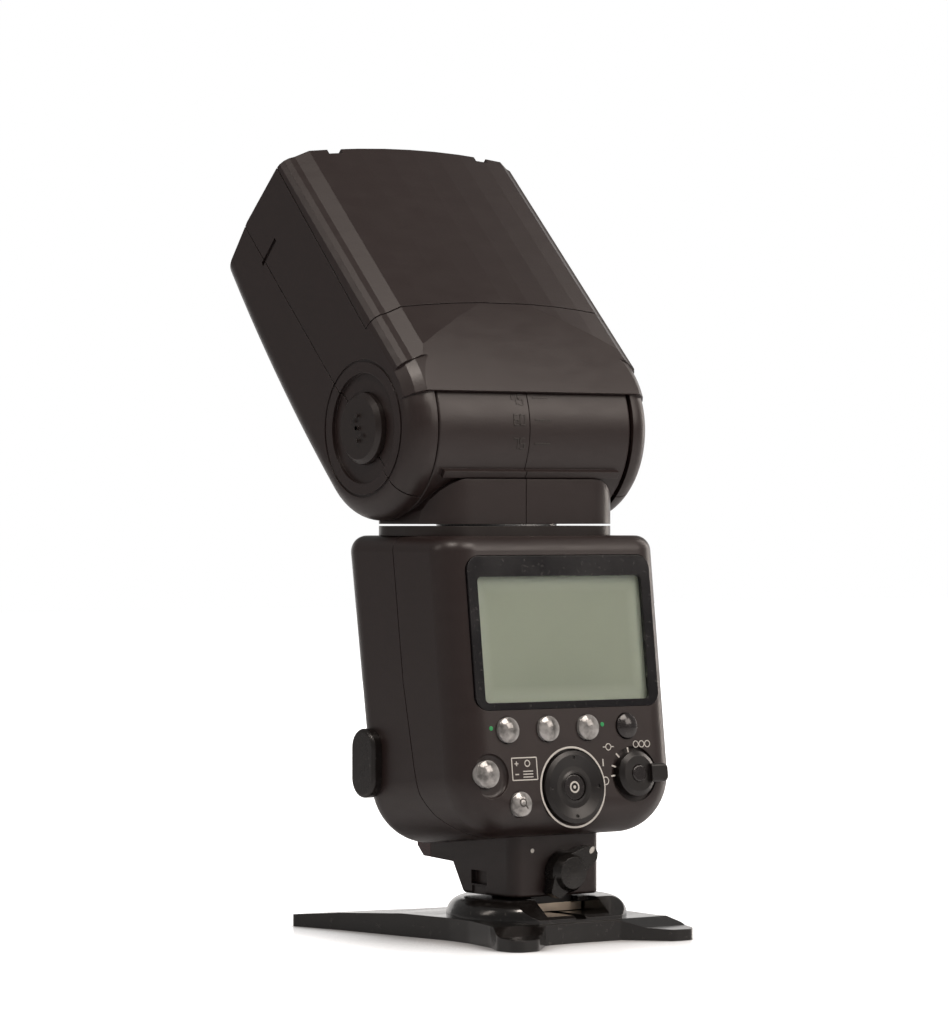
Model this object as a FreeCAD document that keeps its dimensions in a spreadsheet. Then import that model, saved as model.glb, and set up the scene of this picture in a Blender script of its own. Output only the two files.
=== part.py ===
import FreeCAD, Part
import math
import os
import re
import Sketcher

# A hot-shoe flash standing in its mini stand.  Millimetres, +Z up, +Y the way the flash fires, +X to the
# right of a person who looks at the rear panel.  The origin is on the floor under the middle of the hot-shoe
# foot, at the mouth of the stand's tripod thread.  Two parts of the flash lean: the rear panel, and the head,
# which is built flat about its hub (x across, y towards the lamp, z up) and then turned to its resting tilt.

V = FreeCAD.Vector
doc = FreeCAD.newDocument("Flash")
sheet = doc.addObject("Spreadsheet::Sheet", "Sizes")

SIZES = [
    # general
    ("wall", 2.0), ("gap", 0.3), ("fit", 0.06),
    # mini stand
    ("stand_tip_x", 34.0), ("stand_tip_y", 56.5), ("boss_radius", 22.5), ("boss_top", 10.4), ("boss_y", -2.0),
    ("shoe_half", 9.5), ("shoe_floor", 6.7), ("rail_under", 9.1), ("rail_half", 6.5), ("thread_radius", 2.6),
    ("insert_radius", 5.0), ("insert_high", 5.6),
    # hot-shoe foot and the block above it
    ("foot_half", 9.3), ("foot_low", 6.9), ("foot_thick", 2.0),
    ("neck_half", 6.2), ("block_half", 13.7), ("block_back", 10.8), ("block_low", 10.8), ("lever_x", 1.4),
    ("lever_z", 16.7), ("pin_radius", 1.1), ("pin_y", 5.6),
    # flash body
    ("body_half", 33.2), ("body_top", 99.9), ("body_low_rear", 26.8), ("body_low_front", 22.2),
    ("panel_back", 11.3), ("panel_top", 95.1), ("panel_lean", 7.0), ("front_y_top", 37.6),
    ("front_z_top", 99.3), ("front_lean", 9.1), ("corner_low", 15.0), ("roll_rear", 8.5), ("roll_front", 8.0),
    ("roll_top", 4.0),
    # rear panel
    ("bezel_half", 28.0), ("bezel_mid", 76.3), ("bezel_tall", 37.8), ("lcd_half", 25.2), ("lcd_mid", 74.65),
    ("lcd_tall", 31.0), ("key_radius", 3.15), ("key_z", 52.6), ("dial_x", -0.8), ("dial_z", 38.1),
    ("dial_radius", 9.0), ("ok_radius", 3.2), ("lever_radius", 5.6), ("power_x", 18.5), ("power_z", 40.7),
    ("key_gap", 0.15), ("key_skirt", 0.7),
    # battery bay
    ("cell_radius", 7.2), ("cell_long", 50.4), ("cell_pitch", 14.8), ("cell_y", 1.2), ("cell_z", 41.2),
    ("tray_wall", 7.9), ("door_rear", -7.0), ("door_front", 24.0), ("door_low", 33.6), ("door_high", 65.4),
    ("hinge_x", 33.1), ("hinge_y", -7.15), ("knuckle", 0.9), ("hinge_pin", 0.45),
    # turntable, yoke and hub
    ("pan_y", 15.0), ("pan_tube", 9.0), ("plinth_top", 102.3), ("plinth_half", 30.4), ("plinth_rear", -0.5),
    ("plinth_front", 31.4), ("plinth_corner", 12.0), ("yoke_low", 102.8), ("hub_y", 20.5), ("hub_z", 126.6),
    ("barrel_radius", 22.6), ("barrel_half", 29.6), ("split_x", -2.0), ("axle_radius", 5.5),
    # head, about the hub
    ("tilt_rest", 45.0), ("head_half", 37.0), ("cheek_in", 30.2), ("cheek_radius", 23.0), ("wrap_out", 24.0),
    ("wrap_start", 24.0), ("wrap_in", 23.15), ("wrap_end", 22.5), ("head_front", 76.3), ("crown", 28.6),
    ("bevel_n", 26.2), ("side_n", 19.5), ("under_front", -17.4), ("under_run", 74.3), ("under_radius", 495.7),
    ("cover_rear", 16.6), ("cover_n_rear", 18.5), ("cover_n_front", 20.0), ("shell_split", -1.0),
    ("release_radius", 8.9), ("ring_radius", 17.2), ("dish_radius", 13.8), ("head_wall", 2.2),
    # lamp
    ("lens_half", 32.6), ("lens_low", -12.9), ("lens_high", 18.7), ("screw_x", 22.0), ("screw_n", -12.8),
]
ALIASES = [name for name, _ in SIZES]
NODES = {}


def fill_sheet():
    """Write every size to the sheet under its own name."""
    for row, (name, value) in enumerate(SIZES, 1):
        sheet.set(f"A{row}", name)
        sheet.set(f"B{row}", str(value))
        sheet.setAlias(f"B{row}", name)
    doc.recompute()


def full(text):
    """An expression with the sheet's name put before each of its aliases."""
    def prefixed(match):
        word = match.group()
        return "Sizes." + word if word in ALIASES else word

    return re.sub(r"[a-z_]+[a-z]", prefixed, str(text))


def num(text):
    """The number that an expression of aliases stands for."""
    return float(sheet.evalExpression(full(text)))


def bind(obj, prop, text):
    obj.setExpression(prop, full(text))


def move(obj, x="0", y="0", z="0", turn=FreeCAD.Rotation()):
    """Place an object: its base is bound to the sheet and its turn is fixed."""
    obj.Placement = FreeCAD.Placement(V(num(x), num(y), num(z)), turn)
    for axis, text in zip("xyz", (x, y, z)):
        bind(obj, f"Placement.Base.{axis}", text)
    return obj


TO_X = FreeCAD.Rotation(V(0, 1, 0), 90)
TO_Y = FreeCAD.Rotation(V(1, 0, 0), -90)
TO_REAR = FreeCAD.Rotation(V(1, 0, 0), 90)
PLANE_TURN = {"XY": FreeCAD.Rotation(), "XZ": TO_REAR, "YZ": FreeCAD.Rotation(V(1, 1, 1), 120)}
PLANE_AXIS = {"XY": "z", "XZ": "y", "YZ": "x"}
AXIS_DIR = {"x": V(1, 0, 0), "y": V(0, 1, 0), "z": V(0, 0, 1)}


def box(name, x, y, z):
    """A box from three (low, high) pairs of expressions."""
    obj = doc.addObject("Part::Box", name)
    for prop, (low, high) in zip(("Length", "Width", "Height"), (x, y, z)):
        bind(obj, prop, f"({high}) - ({low})")
    return move(obj, x[0], y[0], z[0])


def rod(name, radius, length, x="0", y="0", z="0", turn=FreeCAD.Rotation()):
    obj = doc.addObject("Part::Cylinder", name)
    bind(obj, "Radius", radius)
    bind(obj, "Height", length)
    return move(obj, x, y, z, turn)


def draw(sketch, points):
    """A closed outline bound to the sheet.

    Corners are (a, b); a corner given as (a, b, radius, mid_a, mid_b) starts an arc to the next one.
    """
    corners = [V(num(point[0]), num(point[1]), 0) for point in points]
    count = len(corners)
    joins = []
    for i, point in enumerate(points):
        start, stop = corners[i], corners[(i + 1) % count]
        if len(point) == 2:
            sketch.addGeometry(Part.LineSegment(start, stop), False)
            joins.append((1, 2))
            continue
        arc = Part.Arc(start, V(num(point[3]), num(point[4]), 0), stop)
        sketch.addGeometry(arc, False)
        forward = sketch.Geometry[i].StartPoint.distanceToPoint(start) < 1e-4
        joins.append((1, 2) if forward else (2, 1))
        row = sketch.addConstraint(Sketcher.Constraint("Radius", i, sketch.Geometry[i].Radius))
        sketch.setExpression(f"Constraints[{row}]", full(point[2]))
    for i in range(count):
        after = (i + 1) % count
        sketch.addConstraint(Sketcher.Constraint("Coincident", i, joins[i][1], after, joins[after][0]))
    for i, point in enumerate(points):
        for kind, text, value in zip(("DistanceX", "DistanceY"), point, (corners[i].x, corners[i].y)):
            if abs(value) < 1e-9:
                axis = -2 if kind == "DistanceX" else -1
                sketch.addConstraint(Sketcher.Constraint("PointOnObject", i, joins[i][0], axis))
                continue
            row = sketch.addConstraint(Sketcher.Constraint(kind, -1, 1, i, joins[i][0], value))
            sketch.setExpression(f"Constraints[{row}]", full(text))


def prism(name, plane, points, low, high):
    """An outline in a plane, drawn out along the plane's own axis from low to high."""
    sketch = doc.addObject("Sketcher::SketchObject", name + "_outline")
    axis = PLANE_AXIS[plane]
    move(sketch, **{axis: low}, turn=PLANE_TURN[plane])
    draw(sketch, points)
    obj = doc.addObject("Part::Extrusion", name)
    obj.Base = sketch
    obj.DirMode = "Custom"
    obj.Dir = AXIS_DIR[axis]
    obj.Solid = True
    bind(obj, "LengthFwd", f"({high}) - ({low})")
    return obj


def turned(name, points):
    """A body turned about its own Z from an outline of (radius, height) points."""
    body = doc.addObject("PartDesign::Body", name)
    sketch = body.newObject("Sketcher::SketchObject", name + "_profile")
    plane = [item for item in body.Origin.OriginFeatures if item.Role == "XZ_Plane"][0]
    sketch.AttachmentSupport = [(plane, "")]
    sketch.MapMode = "FlatFace"
    draw(sketch, points)
    turn = body.newObject("PartDesign::Revolution", name + "_turn")
    turn.Profile = sketch
    turn.ReferenceAxis = (sketch, ["V_Axis"])
    turn.Angle = 360
    return body


def cut(name, base, *tools):
    obj = doc.addObject("Part::Cut", name)
    obj.Base = base
    obj.Tool = tools[0] if len(tools) == 1 else fuse(name + "_tools", *tools)
    return obj


def fuse(name, *shapes):
    obj = doc.addObject("Part::MultiFuse", name)
    obj.Shapes = list(shapes)
    return obj


def common(name, *shapes):
    obj = doc.addObject("Part::MultiCommon", name)
    obj.Shapes = list(shapes)
    return obj


def group(name, shapes):
    """Shapes that share one node, which can then be placed as a whole."""
    obj = doc.addObject("Part::Compound", name)
    obj.Links = list(shapes)
    return obj


def roll(name, base, radius, choose):
    """Fillet the edges of base that choose picks by their ends and middle."""
    doc.recompute()
    size = num(radius)
    edges = []
    for i, edge in enumerate(base.Shape.Edges, 1):
        ends = [vertex.Point for vertex in edge.Vertexes]
        middle = edge.valueAt((edge.FirstParameter + edge.LastParameter) / 2)
        if choose(ends, middle):
            edges.append((i, size, size))
    if not edges:
        raise ValueError(f"{name}: no edge to roll")
    obj = doc.addObject("Part::Fillet", name)
    obj.Base = base
    obj.Edges = edges
    return obj


def upright(ends, middle):
    """True for an edge parallel to Z."""
    return len(ends) == 2 and abs(ends[0].x - ends[1].x) < 1e-6 and abs(ends[0].y - ends[1].y) < 1e-6


def tile(name, half_x, half_y, low, high, corner, x="0", y="0"):
    """A rounded rectangle standing from low to high, centred on x, y."""
    base = box(name + "_box", (f"{x} - ({half_x})", f"{x} + ({half_x})"),
               (f"{y} - ({half_y})", f"{y} + ({half_y})"), (low, high))
    return roll(name, base, corner, upright)


def node(label, obj):
    """Give a finished sub-part its name."""
    obj.Label = label
    NODES[label] = obj
    return obj


# ---------------------------------------------------------------- frames that lean

PANEL_TURN = FreeCAD.Rotation(V(1, 0, 0), 83)


def rear_y(z, inset="0"):
    """Where the leaning rear panel is at height z, set in by inset."""
    return f"(0 - panel_back - (panel_top - ({z})) * tan(panel_lean) + ({inset}) / cos(panel_lean))"


def front_y(z, inset="0"):
    return f"(front_y_top - (front_z_top - ({z})) * tan(front_lean) - ({inset}) / cos(front_lean))"


def on_panel(obj, x, z, out="0"):
    """Stand a piece on the rear panel at x, z: its own +Z points out of the panel."""
    return move(obj, x, f"{rear_y(z)} - ({out}) * cos(panel_lean)", f"({z}) + ({out}) * sin(panel_lean)",
                PANEL_TURN)


def on_head(obj):
    """Turn a piece of the head, built about its hub, to the resting tilt."""
    return move(obj, "0", "hub_y", "hub_z", FreeCAD.Rotation(V(1, 0, 0), num("tilt_rest")))


fill_sheet()

# ---------------------------------------------------------------- mini stand


def make_stand():
    """A flat two-winged base with a round boss that holds a shoe, and a brass tripod thread below."""
    half_plan = [("0", "-21"), ("-11.5", "-21.5"), ("-20.5", "-31"), ("-27.5", "-31.6"), ("-28.4", "-24.5"),
                 ("-25.4", "-18"), ("-23.6", "-6"), ("-23.8", "2"), ("-27", "18.6"), ("-30.9", "39.9"),
                 ("0 - stand_tip_x - 1.4", "stand_tip_y - 1"), ("0 - stand_tip_x + 2", "stand_tip_y + 0.6"),
                 ("-22", "44"), ("-11", "35.5"), ("0", "33")]
    mirrored = [(f"0 - ({x})", y) for x, y in reversed(half_plan[1:-1])]
    plan = prism("stand_plan", "XY", half_plan + mirrored, "0", "boss_top")
    plan = roll("stand_plan_waist", plan, "12",
                lambda ends, middle: upright(ends, middle) and -20 < middle.y < 45 and abs(middle.x) > 5)
    plan = roll("stand_plan_feet", plan, "3",
                lambda ends, middle: upright(ends, middle) and middle.y < -24 and abs(middle.x) > 15)
    plan = roll("stand_plan_tips", plan, "1.5",
                lambda ends, middle: upright(ends, middle) and middle.y > 55)
    heights = [("-34", "0"), ("-34", "2.6"), ("-26", "3.2"), ("-20.5", "5.2"), ("-8", "5.6"), ("18", "5.7"),
               ("40", "4.4"), ("58", "2.8"), ("58", "0")]
    side = prism("stand_side", "YZ", heights, "-40", "40")
    plate = common("stand_plate", plan, side)
    boss = rod("stand_boss", "boss_radius", "boss_top", y="boss_y")
    boss = roll("stand_boss_soft", boss, "4.5", lambda ends, middle: middle.z > 10)
    boss = cut("stand_boss_trim", boss, box("stand_boss_rear", ("-30", "30"), ("-40", "-20.6"), ("-1", "20")))
    base = fuse("stand_fused", plate, boss)
    channel = box("shoe_channel", ("0 - shoe_half", "shoe_half"), ("-40", "9.6"), ("shoe_floor", "rail_under"))
    mouth = box("shoe_mouth", ("0 - rail_half", "rail_half"), ("-40", "8.7"), ("shoe_floor", "20"))
    open_end = [("-40", "shoe_floor"), ("-10.6", "shoe_floor"), ("-10.6", "12"), ("-40", "12")]
    ramp = prism("shoe_ramp", "YZ", open_end, "0 - shoe_half", "shoe_half")
    bevel = [("-40", "5.4"), ("-21.5", "5.4"), ("-12", "12"), ("-40", "12")]
    ends = prism("rail_ends", "YZ", bevel, "-24", "24")
    bush_hole = rod("insert_hole", "insert_radius", "insert_high")
    stand = cut("stand_body", base, channel, mouth, ramp, ends, bush_hole)
    pin_slot = box("pin_slot", ("0 - pin_radius - 0.5", "pin_radius + 0.5"),
                   ("-40", "pin_y + pin_radius + 0.5"), ("shoe_floor - 1", "20"))
    node("stand_base", cut("stand_base", stand, pin_slot))
    node("tripod_insert", turned("tripod_insert", [("thread_radius", "0"), ("insert_radius", "0"),
                                                   ("insert_radius", "insert_high"),
                                                   ("thread_radius", "insert_high")]))


# ---------------------------------------------------------------- flash body


def body_block(tag, inset):
    """The body's outer form, set in by inset: a leaning block with a round bottom and rolled edges."""
    half = f"body_half - ({inset})"
    top = f"body_top - ({inset})"
    low_rear = f"body_low_rear + ({inset})"
    low_front = f"body_low_front + ({inset})"
    side = prism(tag + "_side", "YZ", [(rear_y(top, inset), top), (front_y(top, inset), top),
                                       (front_y(low_front, inset), low_front),
                                       (rear_y(low_rear, inset), low_rear)], f"0 - ({half})", half)
    lean_rear = math.tan(math.radians(num("panel_lean")))
    lean_front = math.tan(math.radians(num("front_lean")))
    rear_at = num(rear_y("0", inset))
    front_at = num(front_y("0", inset))
    top_at = num(top)
    low_at = num(low_rear)

    def low_corner(ends, middle):
        return abs(ends[0].x - ends[-1].x) < 1e-6 and middle.z < low_at

    def level(points):
        return all(abs(p.z - top_at) < 1e-4 for p in points)

    def on_rear(ends, middle):
        points = ends + [middle]
        return not level(points) and all(abs(p.y - rear_at - p.z * lean_rear) < 1e-3 for p in points)

    def on_front(ends, middle):
        points = ends + [middle]
        return not level(points) and all(abs(p.y - front_at - p.z * lean_front) < 1e-3 for p in points)

    block = roll(tag + "_bottom", side, f"corner_low - ({inset})", low_corner)
    block = roll(tag + "_rear", block, f"roll_rear - ({inset})", on_rear)
    block = roll(tag + "_front", block, f"roll_front - ({inset})", on_front)
    return roll(tag + "_top", block, f"roll_top - ({inset})", lambda ends, middle: level(ends + [middle]))


def panel_rod(name, radius, x, z, low, high):
    """A rod square to the rear panel, from depth low to depth high."""
    obj = rod(name, radius, f"({high}) - ({low})")
    return on_panel(obj, x, z, low)


def panel_tile(name, half_x, half_y, x, z, low, high, corner):
    """A rounded rectangle lying on the rear panel, from depth low to depth high."""
    return on_panel(tile(name, half_x, half_y, low, high, corner), x, z)


# Key name, place on the panel, radius and how far its cap stands out.
KEYS = [
    ("function_button_1", "-19.5", "key_z", "key_radius", "1.5"),
    ("function_button_2", "-7.3", "key_z", "key_radius", "1.5"),
    ("function_button_3", "4.9", "key_z", "key_radius", "1.5"),
    ("function_button_4", "17.1", "key_z", "key_radius", "1.2"),
    ("mode_button", "-26.2", "42.2", "3.4", "0.9"),
    ("zoom_button", "-17.0", "34.6", "3.05", "1.3"),
]
SCREW_PLACES = [("-20", "31.4"), ("20", "31.4"), ("-26", "93.5"), ("26", "93.5")]
DOOR_KNUCKLES = [("40.5", "44.8"), ("54.2", "58.5")]
SEAM = [("13.6", "106"), ("13.1", "98"), ("8.3", "64"), ("3.6", "43"), ("1.6", "36.5"),
        ("-1.6", "31.5"), ("-6.4", "27.4"), ("-12.4", "24.6"), ("-15", "20")]


def seam_region(name, far, side):
    """Everything on one side of the parting line between the two shells."""
    line = [(f"{y} + ({side}) * gap / 2", z) for y, z in SEAM]
    return prism(name, "YZ", line + [(far, "20"), (far, "106")], "-40", "40")


def hinge_rod(name, radius, low, high):
    """A rod on the battery door's hinge line."""
    return rod(name, radius, f"({high}) - ({low})", "hinge_x", "hinge_y", low)


def make_body_shells():
    """Two hollow shells and the battery door, whose knuckles turn on a pin moulded in the rear shell's."""
    outer = body_block("outer", "0")
    inner = body_block("inner", "wall")
    hollow = cut("body_hollow", outer, inner)
    neck_hole = rod("neck_hole", "pan_tube + fit", "30", y="pan_y", z="85")
    block_hole = box("block_hole", ("-8", "8"), ("-7", "8"), ("10", "32"))
    door_cut = box("door_cut", ("25", "40"), ("door_rear - gap", "door_front + gap"),
                   ("door_low - gap", "door_high + gap"))
    sensor_hole = box("sensor_hole", ("-40", "-30"), ("20.5", "25"), ("37.5", "49"))
    holes = []
    for name, x, z, radius, _ in KEYS:
        holes.append(panel_rod(name + "_hole", f"{radius} + key_gap", x, z, "-4", "3"))
        holes.append(panel_rod(name + "_seat", f"{radius} + key_skirt + 0.2", x, z, "-8", "-3.05"))
    dish = rod("mode_dish", "5.6", "2.4")
    dish = roll("mode_dish_soft", dish, "1.1", lambda ends, middle: middle.z < 0.1)
    holes.append(on_panel(dish, "-25.6", "41.6", "-1.0"))
    holes.append(panel_rod("dial_well", "dial_radius + 0.9", "dial_x", "dial_z", "-1.1", "3"))
    holes.append(panel_rod("dial_hole", "6.2", "dial_x", "dial_z", "-4", "3"))
    holes.append(panel_rod("power_well", "lever_radius + 1.3", "power_x", "power_z", "-1.0", "3"))
    holes.append(panel_rod("power_hole", "3.06", "power_x", "power_z", "-4", "3"))
    holes.append(panel_tile("bezel_well", "bezel_half + 0.15", "bezel_tall / 2 + 0.15", "0", "bezel_mid",
                            "-1.2", "3", "3.65"))
    holes.append(panel_tile("lcd_hole", "lcd_half + 0.6", "lcd_tall / 2 + 0.6", "0", "lcd_mid", "-6", "3",
                            "1.2"))
    screw_ways = []
    for i, (x, z) in enumerate(SCREW_PLACES, 1):
        screw_ways.append(rod(f"screw_hole_{i}", "1.5", "12", x, front_y(z, "7.5"), z, TO_Y))
        screw_ways.append(rod(f"screw_sink_{i}", "2.6", "12", x, front_y(z, "1.4"), z, TO_Y))
    rear = common("rear_half", hollow, seam_region("rear_region", "-60", "-1"))
    front = common("front_half", hollow, seam_region("front_region", "60", "1"))
    rear = cut("rear_pierced", rear, door_cut, neck_hole, block_hole, *holes)
    front = cut("front_pierced", front, door_cut, neck_hole, block_hole, sensor_hole, *screw_ways)
    node("front_shell", front)
    door_box = box("door_box", ("25", "40"), ("door_rear", "door_front"), ("door_low", "door_high"))
    door = common("door_form", hollow, door_box)
    ribs = [box(f"door_grip_{i}", ("body_half - 0.2", "body_half + 0.5"), (f"{4 + 2 * i}", f"{5 + 2 * i}"),
                ("41", "53")) for i in range(5)]
    rear_room = [hinge_rod(f"rear_room_{i}", "knuckle + 0.15", f"{low} - 0.2", f"{high} + 0.2")
                 for i, (low, high) in enumerate(DOOR_KNUCKLES)]
    node("rear_shell", fuse("rear_shell", cut("rear_hinge_room", rear, *rear_room),
                            hinge_rod("shell_knuckle", "knuckle", "45", "54"),
                            hinge_rod("shell_pin", "hinge_pin", "41", "58")))
    door = cut("door_hinge_room", fuse("door_ribbed", door, *ribs),
               hinge_rod("door_room", "knuckle + 0.15", "44.8", "54.2"))
    knuckles = [hinge_rod(f"door_knuckle_{i}", "knuckle", low, high)
                for i, (low, high) in enumerate(DOOR_KNUCKLES)]
    node("battery_door", cut("battery_door", fuse("door_with_knuckles", door, *knuckles),
                             hinge_rod("door_pin_way", "hinge_pin + 0.05", "40", "59")))
    return outer


# ---------------------------------------------------------------- rear panel and its controls


def make_display():
    """The gloss frame round the window, the clear window and the liquid-crystal cell on its light."""
    frame = panel_tile("bezel_plate", "bezel_half", "bezel_tall / 2", "0", "bezel_mid", "-1.15", "-0.1", "3.5")
    window = panel_tile("bezel_window", "lcd_half", "lcd_tall / 2", "0", "lcd_mid", "-3", "1", "1.2")
    node("display_bezel", cut("display_bezel", frame, window))
    node("display_window", panel_tile("display_window", "lcd_half + 0.4", "lcd_tall / 2 + 0.4", "0", "lcd_mid",
                                      "-1.9", "-1.2", "1.2"))
    cell = panel_tile("lcd_cell", "lcd_half + 0.4", "lcd_tall / 2 + 0.4", "0", "lcd_mid", "-3.4", "-2.0",
                      "1.2")
    light = panel_tile("lcd_light", "lcd_half - 0.4", "lcd_tall / 2 - 0.4", "0", "lcd_mid", "-5.6", "-3.3",
                       "1")
    node("lcd_module", fuse("lcd_module", cell, light))


def make_keys():
    """Domed key caps, each with a skirt that keeps it behind the panel, and the flat OK button."""
    for name, x, z, radius, proud in KEYS:
        rim = num(f"{proud} - 0.7")
        curve = f"({radius} ^ 2 + 0.81) / 1.8"
        half_turn = math.asin(num(radius) / num(curve)) / 2
        middle_r = num(curve) * math.sin(half_turn)
        middle_h = rim + 0.9 - num(curve) * (1 - math.cos(half_turn))
        skirt = f"{radius} + key_skirt"
        cap = turned(name + "_cap", [("0", "-4"), (skirt, "-4"), (skirt, "-3.2"), (radius, "-3.2"),
                                     (radius, rim, curve, middle_r, middle_h), ("0", rim + 0.9)])
        cap = roll(name + "_round", cap, "0.3",
                   lambda ends, middle: abs(middle.z - rim) < 1e-3 and abs(ends[0].z - rim) < 1e-3)
        node(name, on_panel(cap, x, z))
    ok = turned("ok_cap", [("0", "-4.6"), ("4.4", "-4.6"), ("4.4", "-4.1"), ("ok_radius", "-4.1"),
                           ("ok_radius", "0.7"), ("0", "0.7")])
    ok = roll("ok_round", ok, "0.3", lambda ends, middle: middle.z > 0.5)
    node("ok_button", on_panel(ok, "dial_x", "dial_z"))


def make_dial():
    """The selector ring turns round the OK button; a shallow scoop runs round its face."""
    ring = turned("dial_ring", [("ok_radius + key_gap", "-3.4"), ("6.0", "-3.4"), ("6.0", "-0.9"),
                                ("dial_radius", "-0.9"), ("dial_radius", "0.9"), ("7.9", "1.3"),
                                ("5.2", "0.55"), ("4.0", "0.6"), ("ok_radius + key_gap", "0.9")])
    cuts = []
    for i in range(4):
        turn = 90 * i
        cuts.append(rod(f"dial_mark_{i}", "0.45", "3", f"(dial_radius - 1.8) * cos({turn})",
                        f"(dial_radius - 1.8) * sin({turn})", "0.85"))
    node("selector_dial", on_panel(cut("selector_dial", ring, *cuts), "dial_x", "dial_z"))


def make_power_lever():
    """A round switch hub with a thumb tab to the right, and the lock key in the middle of its hollow shaft."""
    hub = turned("power_hub", [("2.2", "-3.8"), ("3.0", "-3.8"), ("3.0", "-0.9"), ("lever_radius", "-0.9"),
                               ("lever_radius", "1.2"), ("4.4", "2.0"), ("2.2", "2.0")])
    tab = box("power_tab_box", ("3.2", "lever_radius + 2.9"), ("-2.3", "2.3"), ("0.35", "3.2"))
    tab = roll("power_tab", tab, "1.4", lambda ends, middle: upright(ends, middle) and middle.x > 5)
    tab = roll("power_tab_top", tab, "0.7", lambda ends, middle: middle.z > 3.1 and middle.x > 3.3)
    lever = fuse("power_lever", hub, tab)
    node("power_lever", on_panel(lever, "power_x", "power_z"))
    key = turned("power_lock_key", [("0", "-4.9"), ("2.9", "-4.9"), ("2.9", "-4.3"), ("2.1", "-4.3"),
                                    ("2.1", "2.4"), ("0", "2.4")])
    key = roll("power_lock_round", key, "0.4", lambda ends, middle: middle.z > 2)
    node("power_lock_button", on_panel(key, "power_x", "power_z"))


def make_boards():
    """The keypad's rubber sheet, the control board behind it and the charger board in front of the cells."""
    sheet_base = panel_tile("keypad_base", "27", "10.6", "0", "44.9", "-6.1", "-5.7", "5")
    domes = [panel_rod(name + "_dome", "2", x, z, "-5.7", "-4.7") for name, x, z, _, _ in KEYS]
    domes.append(panel_rod("ok_dome", "1.8", "dial_x", "dial_z", "-5.7", "-5.3"))
    node("keypad_sheet", fuse("keypad_sheet", sheet_base, *domes))
    board = panel_tile("control_base", "29", "30.5", "0", "64.5", "-7.8", "-6.2", "2")
    chips = [panel_tile("control_chip_1", "5", "5", "-10", "80", "-9.4", "-7.8", "0.5"),
             panel_tile("control_chip_2", "3.5", "5", "12", "82", "-9", "-7.8", "0.5")]
    node("control_board", fuse("control_board", board, *chips))
    main = box("main_board_base", ("-27", "27"), ("0", "1.6"), ("0", "43"))
    coil = rod("boost_coil", "3.6", "6", "16", "0", "39", TO_REAR)
    main = fuse("main_board_parts", main, coil)
    node("main_board", move(main, "0", front_y("49", "4.3"), "49",
                            FreeCAD.Rotation(V(1, 0, 0), -num("front_lean"))))


def make_battery_bay():
    """Four AA cells lying across the body in a tray, pushed in from the right behind the door."""
    places = [(f"cell_y + cell_pitch * {i}", f"cell_z + cell_pitch * {j}") for j in range(2) for i in range(2)]
    cells = []
    for i, (y, z) in enumerate(places):
        can = turned(f"cell_{i}", [("0", "0"), ("cell_radius", "0"), ("cell_radius", "cell_long - 1.2"),
                                   ("2.7", "cell_long - 1.2"), ("2.7", "cell_long"), ("0", "cell_long")])
        cells.append(move(can, "-23", y, z, TO_X))
    node("aa_cells", group("aa_cells", cells))
    tray = box("tray_block", ("-26.5", "27.8"), ("cell_y - tray_wall", "cell_y + cell_pitch + tray_wall"),
               ("cell_z - tray_wall", "cell_z + cell_pitch + tray_wall"))
    bores = [rod(f"tray_bore_{i}", "cell_radius + 0.15", "60", "-24.7", y, z, TO_X)
             for i, (y, z) in enumerate(places)]
    node("battery_tray", cut("battery_tray", tray, *bores))
    springs = []
    for i, (y, z) in enumerate(places):
        coil = turned(f"spring_{i}", [("2.2", "0"), ("3.4", "0"), ("2.9", "1.5"), ("1.7", "1.5")])
        springs.append(move(coil, "-24.6", y, z, TO_X))
    node("battery_springs", group("battery_springs", springs))
    strips = [box(f"door_strip_{j}", ("28.0", "28.7"), ("cell_y - 5", "cell_y + cell_pitch + 5"),
                  (f"cell_z + cell_pitch * {j} - 4", f"cell_z + cell_pitch * {j} + 4")) for j in range(2)]
    carrier = box("door_carrier", ("28.7", "31.2"), ("cell_y - 5", "cell_y + cell_pitch + 2"),
                  ("cell_z - 0.5", "cell_z + cell_pitch + 5"))
    node("door_contacts", group("door_contacts", [fuse("door_contact_block", carrier, *strips)]))
    latch = tile("battery_latch_plate", "1.6", "5", "0", "1.5", "1.2")
    latch = roll("battery_latch_soft", latch, "0.4", lambda ends, middle: middle.z > 1.4)
    node("battery_latch", move(latch, "body_half + 0.05", "14", "58", TO_X))


def make_capacitor():
    """The flash capacitor lies across the body above the cells."""
    can = turned("capacitor_can", [("0", "0"), ("10.6", "0"), ("10.6", "50"), ("9.6", "50"), ("9.6", "49.2"),
                                   ("0", "49.2")])
    node("main_capacitor", move(can, "-25", "17", "76", TO_X))


def make_sensor_window(outer):
    """The dark sensor window low on the left side: a pill outside and a plug through the shell."""
    pill = tile("sensor_pill", "8.65", "5.0", "0", "2.7", "4.95")
    pill = roll("sensor_pill_soft", pill, "0.9", lambda ends, middle: middle.z > 2.6)
    pill = move(pill, "0 - body_half + 0.05", "22.6", "43.2", FreeCAD.Rotation(V(0, -1, 0), 90))
    plug = box("sensor_plug", ("0 - body_half - 0.5", "0 - body_half + wall + 1"), ("20.8", "24.7"),
               ("38", "48.5"))
    parts = fuse("sensor_parts", pill, plug)
    node("sensor_window", cut("sensor_window", parts, inner_gap("sensor_gap", outer)))


def inner_gap(name, outer):
    """The part of the outer form beside the sensor window's plug, which the window has to stay clear of."""
    ring = cut(name + "_ring", box(name + "_far", ("-40", "-20"), ("10", "35"), ("30", "56")),
               box(name + "_near", ("-41", "-19"), ("20.8", "24.7"), ("38", "48.5")))
    return common(name, outer, ring)


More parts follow.
